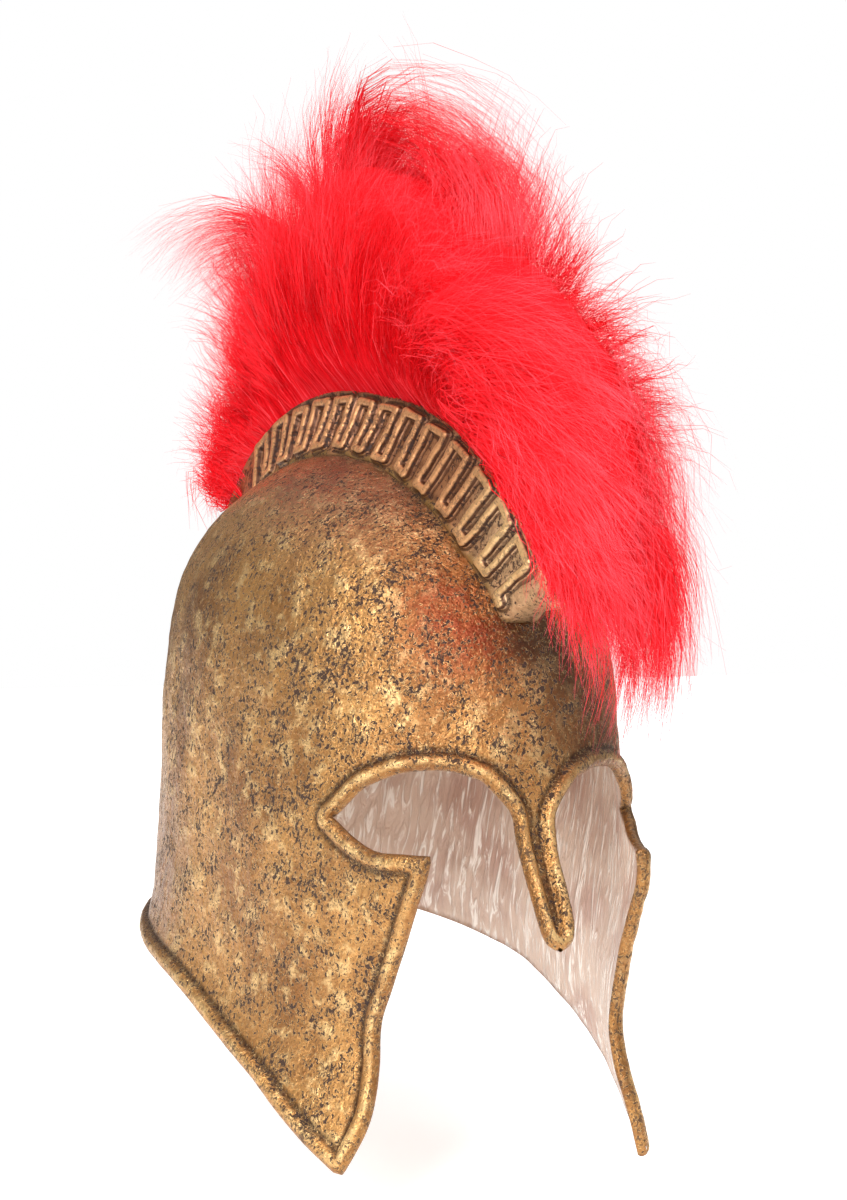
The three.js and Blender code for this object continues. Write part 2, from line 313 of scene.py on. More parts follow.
def half_edge():
    face = face_line()
    return np.vstack([face, hem_line(face[-1, 0])])


HALF_EDGE = half_edge()
MIRROR = np.array([-1, 1])


def pattern_loop(seam_step, column_girths):
    """The flat pattern's outline: the shell's edge, the back seam and the foot of the dome."""
    seam_count = round((DOME_FOOT - HALF_EDGE[-1, 1]) / seam_step)
    heights = np.linspace(HALF_EDGE[-1, 1], DOME_FOOT, seam_count + 1)
    seam = np.stack([np.full(seam_count - 1, HALF_GIRTH), heights[1:-1]], -1)
    top = np.stack([column_girths[::-1], np.full(len(column_girths), DOME_FOOT)], -1)
    mirrored = HALF_EDGE[1:] * MIRROR
    return np.vstack([HALF_EDGE, seam, top, (seam * MIRROR)[::-1], mirrored[::-1]])


def inside(points, loop):
    """Which points lie inside a closed loop."""
    result = np.zeros(len(points), bool)
    ends = np.roll(loop, -1, axis=0)
    for (x0, y0), (x1, y1) in zip(loop, ends):
        if y0 == y1:
            continue
        spans = (points[:, 1] < y0) != (points[:, 1] < y1)
        crossing = x0 + (points[:, 1] - y0) * (x1 - x0) / (y1 - y0)
        result ^= spans & (points[:, 0] < crossing)
    return result


def tree_of(points):
    tree = kdtree.KDTree(len(points))
    for i, point in enumerate(points):
        tree.insert(point, i)
    tree.balance()
    return tree


def nearest(tree, points):
    """Distance to the nearest point of a tree, and its number."""
    found = [tree.find(point) for point in points]
    return np.array([f[2] for f in found]), np.array([f[1] for f in found])


# ---- Bead along the edges ----
# [distance from the edge, height]
BEAD_PROFILE = [
    [0, 1.2], [0.7, 2.1], [1.8, 2.6], [3.0, 2.7], [4.2, 2.2], [5.2, 1.2], [5.9, 0.1], [6.5, -0.4],
    [7.6, -0.1], [9.2, 0],
]
BEAD_REACH = BEAD_PROFILE[-1][0]
NASAL_BEAD_WIDTH = 0.84
HEM_BEAD_HEIGHT = 0.78


class Edge:
    """The shell's edge as many close points, and how its bead varies along it."""

    def __init__(self):
        fine = evenly(HALF_EDGE, 0.3)
        self.flat = np.vstack([fine, fine * MIRROR])
        self.tree = tree_of(on_skull(self.flat))
        girth, height = np.abs(self.flat[:, 0]), self.flat[:, 1]
        nasal = smoothstep(16 - girth, 0, 8)
        hem = smoothstep(girth - 118, 0, 20) * smoothstep(-84 - height, 0, 4)
        self.width = blend(1, NASAL_BEAD_WIDTH, nasal)
        self.height = blend(1, HEM_BEAD_HEIGHT, hem)

    def measure(self, points):
        """Distance from the edge, and the bead's width and height there."""
        distance, number = nearest(self.tree, points)
        return distance, self.width[number], self.height[number]


EDGE = Edge()


def bead_rows(outline):
    """Pattern points along the bead's own steps, so that it stays crisp."""
    step = 0.4
    middle = on_skull(outline)
    along_flat = unit(np.gradient(outline, axis=0))
    tangent = unit(on_skull(outline + along_flat * step) - on_skull(outline - along_flat * step))
    inward = np.cross(normals_on_skull(outline), tangent)
    by_girth = (on_skull(outline + [step, 0]) - on_skull(outline - [step, 0])) / (2 * step)
    by_height = (on_skull(outline + [0, step]) - on_skull(outline - [0, step])) / (2 * step)
    a = np.sum(by_girth * by_girth, -1)
    b = np.sum(by_girth * by_height, -1)
    c = np.sum(by_height * by_height, -1)
    p = np.sum(by_girth * inward, -1)
    q = np.sum(by_height * inward, -1)
    step_in = np.stack([p * c - q * b, q * a - p * b], -1) / (a * c - b * b)[:, None]
    _, width, _ = EDGE.measure(middle)
    rows = []
    for distance, _ in BEAD_PROFILE[1:]:
        wanted = distance * width
        row = outline + step_in * wanted[:, None]
        reached, _, _ = EDGE.measure(on_skull(row))
        rows.append(row[np.abs(reached - wanted) < 0.2 + 0.03 * wanted])
    return np.vstack(rows)


def lattice(step, loop):
    """Staggered points at a step over the pattern's box, kept where they lie inside."""
    low, high = loop.min(0), loop.max(0)
    row_step = step * math.sqrt(3) / 2
    rows = int((high[1] - low[1]) / row_step) + 1
    columns = int((high[0] - low[0]) / step) + 1
    row, column = np.meshgrid(np.arange(rows), np.arange(columns), indexing="ij")
    across = low[0] + (column + 0.5 * (row % 2) + 0.25) * step
    points = np.stack([across, low[1] + (row + 0.5) * row_step], -1).reshape(-1, 2)
    return points[inside(points, loop)]


def clear_of(points, others, gap):
    flat = np.column_stack([others, np.zeros(len(others))])
    distance, _ = nearest(tree_of(flat), np.column_stack([points, np.zeros(len(points))]))
    return points[distance > gap]


def skirt_pattern(step, seam_step, column_girths, with_bead):
    """Flat points and triangles of the shell below its dome."""
    loop = pattern_loop(seam_step, column_girths)
    kept = loop
    if with_bead:
        half = bead_rows(HALF_EDGE)
        rows = np.vstack([half, half * MIRROR])
        rows = rows[inside(rows, loop)]
        kept = np.vstack([loop, clear_of(rows, loop, 0.35)])
        fine = lattice(1.3, loop)
        distance, _, _ = EDGE.measure(on_skull(fine))
        fine = fine[(distance > 0.5) & (distance < BEAD_REACH + 1)]
        kept = np.vstack([kept, clear_of(fine, kept, 0.8)])
    coarse = lattice(step, loop)
    distance, _, _ = EDGE.measure(on_skull(coarse))
    coarse = coarse[distance > (BEAD_REACH if with_bead else 0.5 * step)]
    kept = np.vstack([kept, clear_of(coarse, kept, 0.6 * step)])
    ring = [(i, (i + 1) % len(loop)) for i in range(len(loop))]
    corners = [Vector(point) for point in kept]
    flat, _, faces, _, _, _ = geometry.delaunay_2d_cdt(corners, ring, [], 1, 1e-5)
    return np.array([tuple(v) for v in flat]), np.array(faces)


# ---- Shell ----
DENT_DEPTH = 0.9
SMALL_DENT_DEPTH = 0.42
HAMMER_DEPTH = 0.21
# Columns round the dome, step down the dome and step over the skirt.
OUTER_MESH = (356, 1.7, 1.75)
INNER_MESH = (176, 3.6, 3.6)


def dents(points):
    """The hand-made lumps of the casting, outward in millimetres."""
    broad = soft_noise(points, 34.0)
    middle = soft_noise(points, 13.0, 7.3)
    return DENT_DEPTH * broad + SMALL_DENT_DEPTH * middle


def hammering(points):
    return HAMMER_DEPTH * soft_noise(points, 4.6, 3.1)


def bead_height(distance, width, height):
    profile = np.array(BEAD_PROFILE)
    return np.interp(distance / width, profile[:, 0], profile[:, 1]) * height


def shell_sheet(dome_columns, dome_step, skirt_step, outer):
    """One side of the shell: points, triangles and the distance from the edge."""
    column_girths = np.linspace(-HALF_GIRTH, HALF_GIRTH, dome_columns + 1)
    angles = angle_at(column_girths)
    profile = skull_point(90, np.linspace(0, DOME_SHARE, 400))
    rows = round(lengths_along(profile)[-1] / dome_step)
    wanted = np.linspace(0, lengths_along(profile)[-1], rows + 1)
    shares = np.interp(wanted, lengths_along(profile), np.linspace(0, DOME_SHARE, 400))
    angle_grid, share_grid = np.meshgrid(angles, shares[1:])
    dome = skull_point(angle_grid, share_grid).reshape(-1, 3)
    dome_normals = skull_normal(angle_grid, share_grid).reshape(-1, 3)
    pole = skull_point(np.zeros(1), np.zeros(1))
    columns = dome_columns + 1
    cap = [(0, 1 + i, 2 + i) for i in range(dome_columns)]
    quads = grid_faces(rows, columns, first=1)
    dome_faces = cap + [tuple(quad) for quad in quads]

    flat, skirt_faces = skirt_pattern(skirt_step, skirt_step, column_girths, outer)
    skirt = on_skull(flat)
    skirt_normals = normals_on_skull(flat)
    base = np.vstack([pole, dome, skirt])
    normals = np.vstack([[[0, 0, 1]], dome_normals, skirt_normals])
    faces = dome_faces + [tuple(face + 1 + len(dome)) for face in skirt_faces]
    distance, width, height = EDGE.measure(base)
    lift = dents(base)
    if outer:
        lift = lift + bead_height(distance, width, height) + hammering(base)
    else:
        lift = lift - WALL
    return base + normals * lift[:, None], faces, distance


def rim_strip():
    """The rolled lip that joins the outside to the inside along the edge."""
    outline = np.vstack([HALF_EDGE, (HALF_EDGE * MIRROR)[::-1][:-1]])
    base = on_skull(outline)
    normals = normals_on_skull(outline)
    along = unit(np.gradient(base, axis=0))
    outward = -np.cross(normals, along)
    _, width, height = EDGE.measure(base)
    top = dents(base) + bead_height(np.zeros(len(base)), width, height) + hammering(base)
    low = dents(base) - WALL
    rows = []
    for share, bulge in [(0, 0), (0.2, 0.55), (0.5, 0.85), (0.8, 0.6), (1, 0)]:
        lift = blend(top, low, share)
        rows.append(base + normals * lift[:, None] + outward * bulge)
    faces = grid_faces(len(rows), len(base))
    return np.vstack(rows), [tuple(face) for face in faces]


def upright_faces(points, faces, looks_out):
    """Turns the faces so that they look away from the middle, or all toward it."""
    turned = []
    for face in faces:
        a, b, c = points[face[0]], points[face[1]], points[face[2]]
        normal = np.cross(b - a, c - a)
        middle = (a + b + c) / 3
        centre = np.array([0, 0, min(middle[2], 20)])
        away = np.dot(normal, middle - centre) > 0
        turned.append(face if away == looks_out else face[::-1])
    return turned


def make_shell(paint, lining):
    outer, outer_faces, outer_edge = shell_sheet(*OUTER_MESH, True)
    inner, inner_faces, inner_edge = shell_sheet(*INNER_MESH, False)
    rim, rim_faces = rim_strip()
    points = np.vstack([outer, inner, rim])
    outer_faces = upright_faces(points, outer_faces, True)
    inner_faces = [tuple(i + len(outer) for i in face) for face in inner_faces]
    inner_faces = upright_faces(points, inner_faces, False)
    rim_faces = [tuple(i + len(outer) + len(inner) for i in face) for face in rim_faces]
    faces = outer_faces + inner_faces + rim_faces
    finish = [0] * len(outer_faces) + [1] * len(inner_faces) + [0] * len(rim_faces)
    edge = np.concatenate([outer_edge, inner_edge, np.zeros(len(rim))])
    shell = make_mesh_object("bronze_shell", points, faces, {"edge": edge}, [paint, lining], finish)
    stands_for(shell, "shell")
    return shell


def surface_of(piece):
    shape = bmesh.new()
    shape.from_mesh(piece.data)
    tree = BVHTree.FromBMesh(shape)
    shape.free()
    return tree


# ---- Crest holder ----
# [angle up from the front, radius of the top edge, half width at the dome, half width at the top]
CREST_STATIONS = [
    [41.3, 152.5, 8, 6.5],
    [54, 150.5, 13, 8],
    [72, 144, 17.5, 9.5],
    [90, 138.5, 20.5, 11],
    [100, 137, 21.5, 11.5],
    [116, 139, 22.5, 12],
    [136, 142, 21, 12],
    [155, 142, 18, 11],
]
CREST_FRONT = CREST_STATIONS[0][0]
CREST_BACK = CREST_STATIONS[-1][0]
CREST_TABLE = through(CREST_STATIONS, np.linspace(0, 1, 1200))
DOME_RADIUS = 117


def crest_sizes(angle):
    """Radius of the top edge, half width at the dome and half width at the top."""
    return [np.interp(angle, CREST_TABLE[:, 0], CREST_TABLE[:, k]) for k in (1, 2, 3)]


def radial(angle, radius, x):
    """Point of the upright plane at x, at an angle up from the front."""
    turn = np.radians(angle)
    x, y, z = np.broadcast_arrays(x, -radius * np.cos(turn), radius * np.sin(turn))
    return np.stack([x, y, z], -1).astype(float)


# Meander on the sides of the crest holder, drawn on a flat strip.
KEY_COUNT = 13
KEY_FIRST_ANGLE = 44
KEY_PITCH_ANGLE = 7.5
KEY_PITCH = math.radians(KEY_PITCH_ANGLE) * DOME_RADIUS
KEY_SLOPE = 23
KEY_LOW = 0.16 * KEY_SLOPE
KEY_HIGH = 0.86 * KEY_SLOPE
KEY_CAP_SHARE = 0.6
KEY_PROUD = 2.6


def key_line(draw):
    """The meander's corners, each a little off its true place as moulded by hand."""
    line = [[-0.2 * KEY_PITCH, KEY_LOW]]
    for i in range(KEY_COUNT):
        start = i * KEY_PITCH
        end = start + KEY_CAP_SHARE * KEY_PITCH
        line += [[start, KEY_LOW], [start, KEY_HIGH], [end, KEY_HIGH], [end, KEY_LOW]]
    line = np.array(line)
    return line + draw.uniform(-0.55, 0.55, line.shape)


def distance_to_line(points, line):
    best = np.full(len(points), 1e9)
    for start, end in zip(line[:-1], line[1:]):
        way = end - start
        share = np.clip(((points - start) @ way) / (way @ way), 0, 1)
        best = np.minimum(best, np.linalg.norm(points - start - share[:, None] * way, axis=1))
    return best


def meander_relief(angle, height, side, draw):
    """How far the moulded line stands proud at an angle and a share of the slope."""
    flat = np.stack([(angle - KEY_FIRST_ANGLE) / KEY_PITCH_ANGLE * KEY_PITCH, height * KEY_SLOPE], -1)
    place = np.column_stack([flat, np.full(len(flat), 40.0 * side)])
    wander = np.stack([soft_noise(place, 5.0), soft_noise(place, 5.0, 9.0)], -1)
    distance = distance_to_line(flat + 0.45 * wander, key_line(draw))
    ridge = smoothstep(2.0 - distance, 0, 1.25)
    groove = smoothstep(3.2 - distance, 0, 1.0) * (1 - smoothstep(2.2 - distance, 0, 0.9))
    return ridge, groove


CREST_COLUMN_ANGLE = 0.27
SLOPE_ROWS = 42
CAP_RADIUS = 4.0
# The upper corner of the front end leans forward in a rough lip, in degrees.
FRONT_OVERHANG = 2.6
FRONT_LUMP_ANGLE = 43.5


def crest_columns():
    """Angles of the sections, with a shrink for each that rounds off the two ends."""
    middle = np.arange(CREST_FRONT, CREST_BACK, CREST_COLUMN_ANGLE)
    turns = np.radians(np.linspace(88, 8, 9))
    beyond = np.degrees(CAP_RADIUS * np.sin(turns) / 135)
    shrink = 1 - np.cos(turns)
    angles = np.concatenate([CREST_FRONT - beyond, middle, CREST_BACK + beyond[::-1]])
    return angles, np.concatenate([shrink, np.zeros(len(middle)), shrink[::-1]])


def dome_radius(surface, angle, x):
    """Radius at which a line in from outside meets the shell."""
    far = placed(radial(angle, 300, x))
    way = Vector(placed(radial(angle, 0, x)) - far).normalized()
    hit, _, _, reach = surface.ray_cast(Vector(far), way)
    return 300 - reach / MM if hit else DOME_RADIUS


def crest_section():
    """Angles along the crest, the shrink toward its ends, and its sizes there."""
    angles, shrink = crest_columns()
    top, base_half, top_half = crest_sizes(np.clip(angles, CREST_FRONT, CREST_BACK))
    lump = np.exp(-(((angles - FRONT_LUMP_ANGLE) / 2.4) ** 2))
    top = top + 1.6 * lump - CAP_RADIUS * shrink
    top_half = top_half + 1.4 * lump - 0.8 * CAP_RADIUS * shrink
    base_half = base_half - 0.8 * CAP_RADIUS * shrink
    return angles, shrink, top, base_half, top_half


def front_overhang(angle, height=1):
    return FRONT_OVERHANG * height ** 3 * smoothstep(CREST_FRONT + 2.5 - angle, 0, 3)


def crest_slope(surface, section, side, draw):
    """One long side of the crest: its points, its relief and the share of the slope."""
    angles, shrink, top, base_half, top_half = section
    foot = np.array([dome_radius(surface, a, side * b) for a, b in zip(angles, base_half)]) - 0.5
    height = np.linspace(0, 1, SLOPE_ROWS)
    angle_grid, height_grid = np.meshgrid(angles, height)
    flat_angle, flat_height = angle_grid.ravel(), height_grid.ravel()
    ridge, groove = meander_relief(flat_angle, flat_height, side, draw)
    edge_x = blend(base_half, top_half, height[:, None]).ravel()
    edge_radius = blend(foot, top - 1.0, height[:, None]).ravel()
    rise = np.tile(top - 1.0 - foot, SLOPE_ROWS)
    inward = np.tile(base_half - top_half, SLOPE_ROWS)
    slope = np.hypot(rise, inward)
    lumps = soft_noise(radial(flat_angle, edge_radius, 3.0 * side * edge_x), 11.0, 5.0)
    margin = 0.9 * np.exp(-(((flat_height - 0.06) / 0.05) ** 2))
    lip = 0.7 * smoothstep(flat_height, 0.93, 0.985)
    hollow = -0.45 * np.sin(math.pi * np.clip(flat_height, 0, 1))
    proud = KEY_PROUD * ridge - 0.7 * groove + margin + lip + hollow + 0.35 * lumps
    proud = proud * (1 - 0.7 * np.tile(shrink, SLOPE_ROWS))
    x = edge_x + proud * rise / slope
    radius = edge_radius + proud * inward / slope
    leaning = flat_angle - front_overhang(flat_angle, flat_height)
    points = radial(leaning, radius, side * x).reshape(SLOPE_ROWS, len(angles), 3)
    return points, (ridge - 0.6 * groove).reshape(SLOPE_ROWS, -1), height_grid


def crest_top_and_foot(surface, section):
    """Rows of points over the crest's top, and under its foot just inside the shell."""
    angles, _, top, base_half, top_half = section
    leaning = angles - front_overhang(angles)
    over = [
        radial(leaning, top - 0.3 * abs(share), share * (top_half - 0.4))
        for share in (0.86, 0.6, 0.2, -0.2, -0.6, -0.86)
    ]
    under = []
    for share in (-0.9, -0.6, -0.3, 0, 0.3, 0.6, 0.9):
        x = share * base_half
        sunk = np.array([dome_radius(surface, a, b) for a, b in zip(angles, x)]) - 0.7
        under.append(radial(angles, sunk, x))
    return np.array(over), np.array(under)


def make_crest_holder(surface, paint):
    draw = np.random.default_rng(41)
    section = crest_section()
    left, left_ridge, left_height = crest_slope(surface, section, 1, draw)
    right, right_ridge, right_height = crest_slope(surface, section, -1, draw)
    over, under = crest_top_and_foot(surface, section)
    rings = np.concatenate([left, over, right[::-1], under]).transpose(1, 0, 2)
    rows, around = rings.shape[:2]
    no_over = np.zeros((len(over), rows))
    no_under = np.zeros((len(under), rows))
    ridge = np.concatenate([left_ridge, no_over, right_ridge[::-1], no_under])
    level = np.concatenate([left_height, no_over + 1, right_height[::-1], no_under])
    points = np.vstack([rings.reshape(-1, 3), rings[0].mean(0), rings[-1].mean(0)])
    values = {
        "relief": np.concatenate([ridge.T.ravel(), [0, 0]]),
        "level": np.concatenate([level.T.ravel(), [0.5, 0.5]]),
    }
    faces = capped_tube(rows, around)
    crest = make_mesh_object("crest_holder_relief", points, faces, values, [paint])
    face_outward(crest)
    stands_for(crest, "crest_holder")


# ---- Plume ----
# [angle of the foot on the crest, tip y, tip height, half width of the belly]
PLUME_STATIONS = [
    [42.6, -170, 62, 20],
    [47, -182, 88, 28],
    [53, -181, 122, 34],
    [60, -172, 154, 36],
    [68, -142, 186, 36],
    [77, -94, 216, 36],
    [86, -44, 247, 35],
    [95, 8, 259, 35],
    [105, 56, 254, 36],
    [114, 100, 235, 36],
    [122, 146, 204, 31],
    [129, 188, 160, 24],
    [137, 150, 134, 27],
    [146, 144, 106, 27],
    [154, 142, 74, 20],
]
# Section of the plume: [share of the way from foot to tip, share of the belly's half width].
PLUME_SECTION = np.array(
    [[0, 0.26], [0.13, 0.62], [0.3, 0.88], [0.52, 1], [0.76, 0.88], [0.92, 0.58], [1, 0.16]]
)
LOCK_POINTS = 9


def plume_path(share, way, lean=0.42):
    """Point in the middle plane, at a share of the crest's length and of the way from foot to tip."""
    angle, tip_y, tip_z, belly = np.moveaxis(through(PLUME_STATIONS, share), -1, 0)
    top, _, top_half = crest_sizes(angle)
    foot = radial(angle, top - 0.6, 0)
    tip = np.stack([0 * tip_y, tip_y, tip_z], -1)
    reach = np.linalg.norm(tip - foot, axis=-1)
    middle = radial(angle, top + lean * reach, 0)
    t = np.asarray(way)[..., None]
    point = (1 - t) ** 2 * foot + 2 * t * (1 - t) * middle + t * t * tip
    return point, belly, top_half


def section_width(way):
    return np.interp(way, PLUME_SECTION[:, 0], PLUME_SECTION[:, 1])


# How the hair leaves the plain form along the crest: [share of the crest's length, slide along it
# as the hair grows, share of the full reach, share of the belly's width, drift to the wearer's left].
FLOW = np.array(
    [
        [0, 0.0, 0.82, 0.5, 12],
        [0.07, -0.04, 0.97, 0.68, 5],
        [0.15, -0.1, 0.97, 0.88, 1],
        [0.22, -0.13, 1.0, 1, 0],
        [0.29, -0.11, 1.06, 1, 0],
        [0.36, -0.09, 1.0, 1, 0],
        [0.43, -0.07, 0.88, 1, 0],
        [0.5, -0.03, 0.93, 1, 0],
        [0.57, 0, 0.98, 0.95, 0],
        [0.64, 0.01, 1, 0.86, 0],
        [0.71, 0.01, 0.86, 0.72, 0],
        [0.79, 0.02, 0.66, 0.58, 0],
        [0.86, 0.03, 0.7, 0.5, 0],
        [0.93, 0.05, 0.82, 0.55, 0],
        [1, 0.03, 0.9, 0.62, 0],
    ]
)


def flow_at(share):
    """Reach, width and drift of the hair at a share of the crest's length."""
    return [np.interp(share, FLOW[:, 0], FLOW[:, column]) for column in (2, 3, 4)]


def make_plume_core(finish):
    """The dense under-fur that the locks grow over."""
    rows, around = 90, 40
    shares = np.linspace(0.012, 0.985, rows)
    rings = []
    for share in shares:
        up = np.concatenate([np.linspace(0, 0.8, around // 2), np.linspace(0.8, 0, around // 2)])
        side = np.concatenate([np.ones(around // 2), -np.ones(around // 2)])
        reach, narrow, drift = flow_at(share)
        point, belly, top_half = plume_path(np.full(around, share), up * reach * 0.93)
        taper = np.sqrt(np.clip(1 - (up / 0.83) ** 6, 0, 1))
        width = np.minimum(section_width(up) * belly * narrow * 0.72, top_half - 3 + up * 90) * taper
        point[:, 0] = side * width + drift * (up * reach) ** 1.5
        rings.append(point)
    points = np.array(rings).reshape(-1, 3)
    lumps = soft_noise(points, 9.0, 2.0)[:, None] * 1.5
    centres = np.repeat(np.array(rings).mean(1), around, axis=0)
    points = points + unit(points - centres) * lumps
    points = np.vstack([points, points[:around].mean(0), points[-around:].mean(0)])
    faces = capped_tube(rows, around)
    core = make_mesh_object("plume_under_fur", points, faces, None, [finish])
    face_outward(core)
    stands_for(core, "plume")


def scattered(draw, *shape):
    """Normal scatter with no far outliers."""
    return np.clip(draw.normal(0, 1, shape), -1.9, 1.9)


def form_locks(draw, count, first, last):
    """Locks that fill the plume's form between two shares of its length."""
    share = first + (last - first) * (np.arange(count) + draw.uniform(0, 1, count)) / count
    skin = np.sign(draw.uniform(-1, 1, count)) * np.sqrt(draw.uniform(0.1, 1.0, count))
    length = draw.uniform(0.42, 1.0, count) ** 0.6
    sway = scattered(draw, count, 3) * (5, 8, 6)
    turn = scattered(draw, count, 3) * (4, 6, 6)
    grown = np.linspace(0, 1, LOCK_POINTS)[None, :]
    slide = np.interp(share, FLOW[:, 0], FLOW[:, 1]) * draw.uniform(0.0, 1.5, count)
    shares = np.clip(share[:, None] + slide[:, None] * grown ** 1.5, 0, 1)
    reach, narrow, drift = flow_at(shares)
    way = (1 - (1 - grown) ** 1.3) * length[:, None] * reach
    point, belly, top_half = plume_path(shares, way)
    spread = top_half * 0.86 + np.maximum(section_width(way) - PLUME_SECTION[0, 1], 0) * belly * narrow
    point[..., 0] += skin[:, None] * spread + drift * way ** 1.5
    point = point + sway[:, None, :] * (grown ** 2)[..., None]
    wave = np.sin(grown * 6 + draw.uniform(0, 6, (count, 1))) * grown
    return point + turn[:, None, :] * wave[..., None]


def strand_path(places, count, draw, scatter):
    """Locks that follow one free path, [x, y, height], scattered round it."""
    path = through(places, np.linspace(0, 1, LOCK_POINTS), held=True)
    grow = np.linspace(0.35, 1, LOCK_POINTS)[None, :, None]
    shift = scattered(draw, count, 1, 3) * np.array(scatter)
    length = draw.uniform(0.72, 1.02, (count, 1, 1))
    point = np.repeat(path[None], count, 0)
    root = point[:, :1]
    point = root + (point - root) * length
    return point + shift * grow


FREE_WISPS = [
    # [places, locks, scatter]: the tuft that curls forward from the top.
    [
        [[0, 60, 180], [0, 82, 214], [0, 84, 238], [0, 62, 252], [0, 24, 258],
         [0, -16, 256], [0, -46, 246]],
        16, (9, 7, 4),
    ],
    [
        [[0, 46, 175], [0, 62, 210], [0, 56, 236], [0, 28, 248], [0, -16, 248],
         [0, -50, 237], [0, -62, 222]],
        24, (12, 8, 5),
    ],
    [
        [[4, 22, 180], [4, 20, 216], [3, -2, 238], [2, -32, 241], [0, -58, 230],
         [0, -68, 210]],
        18, (12, 7, 6),
    ],
    [
        [[0, 84, 176], [0, 96, 206], [0, 100, 230], [0, 92, 246]],
        12, (10, 6, 6),
    ],
    # The wisp that blows out behind, and shorter ones over and under it.
    [
        [[-6, 70, 158], [-12, 98, 177], [-17, 126, 182], [-20, 152, 176], [-22, 176, 164],
         [-22, 192, 152]],
        30, (8, 4, 6),
    ],
    [
        [[-6, 80, 148], [-12, 104, 164], [-17, 126, 168], [-20, 146, 160], [-22, 160, 147]],
        14, (8, 6, 7),
    ],
    [
        [[-6, 80, 180], [-10, 98, 200], [-14, 118, 208], [-16, 136, 206]],
        7, (6, 4, 5),
    ],
    # Low back edge.
    [
        [[-8, 112, 70], [-14, 126, 84], [-18, 144, 94], [-20, 158, 96]],
        9, (8, 7, 8),
    ],
    [
        [[-8, 112, 110], [-14, 128, 122], [-18, 142, 128], [-20, 152, 126]],
        7, (8, 7, 8),
    ],
    # Points of the front lock, hanging clear.
    [
        [[2, -126, 112], [9, -148, 106], [13, -157, 86], [15, -158, 66], [15, -156, 46]],
        12, (4, 4, 7),
    ],
    [
        [[4, -132, 118], [12, -158, 110], [17, -168, 92], [19, -171, 72], [19, -170, 50]],
        14, (5, 4, 8),
    ],
    [
        [[6, -140, 126], [15, -164, 118], [20, -174, 100], [22, -177, 80], [22, -177, 60]],
        13, (5, 4, 8),
    ],
]
FOREHEAD_WISP = [
    [[0, -113, 104], [4, -128, 98], [6, -142, 84], [7, -149, 70], [8, -151, 56], [8, -151, 40]],
    6, (3, 3, 5),
]


def outward_of(points):
    """Which way the face of a strand should look at each point of its lock."""
    centre = np.array([0, -8, 60])
    away = points - centre
    away[..., 0] *= 3.2
    tangent = unit(np.gradient(points, axis=1))
    away = away - np.sum(away * tangent, -1, keepdims=True) * tangent
    return unit(away)


def guide_object(name, locks, spread):
    """A mesh of lock centre lines, with what each strand needs to know stored on its points."""
    count = len(locks)
    mesh = bpy.data.meshes.new(name)
    start = np.arange(count)[:, None] * LOCK_POINTS + np.arange(LOCK_POINTS - 1)[None]
    edges = np.stack([start, start + 1], -1).reshape(-1, 2)
    mesh.from_pydata(placed(locks.reshape(-1, 3)).tolist(), edges.tolist(), [])
    along = np.tile(np.linspace(0, 1, LOCK_POINTS), count)
    pinch = 1 - 0.45 * along ** 2
    layers = {
        "root": ("FLOAT_VECTOR", placed(np.repeat(locks[:, :1], LOCK_POINTS, 1).reshape(-1, 3))),
        "outward": ("FLOAT_VECTOR", outward_of(locks).reshape(-1, 3)),
        "spread": ("FLOAT", np.repeat(spread, LOCK_POINTS) * pinch * np.sqrt(0.15 + along) * MM),
    }
    for label, (kind, values) in layers.items():
        layer = mesh.attributes.new(label, kind, "POINT")
        field = "vector" if kind == "FLOAT_VECTOR" else "value"
        layer.data.foreach_set(field, np.asarray(values, np.float32).ravel())
    return new_object(name, mesh)


# ---- Node trees ----
class Value:
    """A socket that carries a number: sums on it add Math nodes."""

    def __init__(self, graph, socket):
        self.graph = graph
        self.socket = socket

    def __add__(self, other):
        return self.graph.math("ADD", self, other)

    def __sub__(self, other):
        return self.graph.math("SUBTRACT", self, other)

    def __rsub__(self, other):
        return self.graph.math("SUBTRACT", other, self)

    def __mul__(self, other):
        return self.graph.math("MULTIPLY", self, other)

    def __pow__(self, other):
        return self.graph.math("POWER", self, other)

    __radd__ = __add__
    __rmul__ = __mul__


class Graph:
    """A node tree, and one method that adds any node to it."""

    def __init__(self, tree):
        self.tree = tree

    def add(self, kind, settings=None, inputs=None):
        node = self.tree.nodes.new(kind)
        for name, value in (settings or {}).items():
            setattr(node, name, value)
        for name, value in (inputs or {}).items():
            self.feed(node.inputs[name], value)
        return node

    def feed(self, socket, value):
        if isinstance(value, Value):
            value = value.socket
        if isinstance(value, bpy.types.NodeSocket):
            self.tree.links.new(value, socket)
        else:
            socket.default_value = value

    def math(self, operation, first, second):
        node = self.add("ShaderNodeMath", {"operation": operation}, {0: first, 1: second})
        return Value(self, node.outputs[0])

    def vector(self, operation, first, second):
        node = self.add("ShaderNodeVectorMath", {"operation": operation}, {0: first, 1: second})
        return node.outputs[0]

    def scaled(self, vector, amount):
        inputs = {0: vector, "Scale": amount}
        return self.add("ShaderNodeVectorMath", {"operation": "SCALE"}, inputs).outputs[0]

    def between(self, value, low, high, to_low=0.0, to_high=1.0):
        """A value eased from one range to another."""
        settings = {"interpolation_type": "SMOOTHSTEP"}
        inputs = {0: value, 1: low, 2: high, 3: to_low, 4: to_high}
        return Value(self, self.add("ShaderNodeMapRange", settings, inputs).outputs[0])


# ---- Strands of fur ----
STRAND_WIDTH = 0.36
FRIZZ_SIZE = 0.018
FRIZZ = 10.0


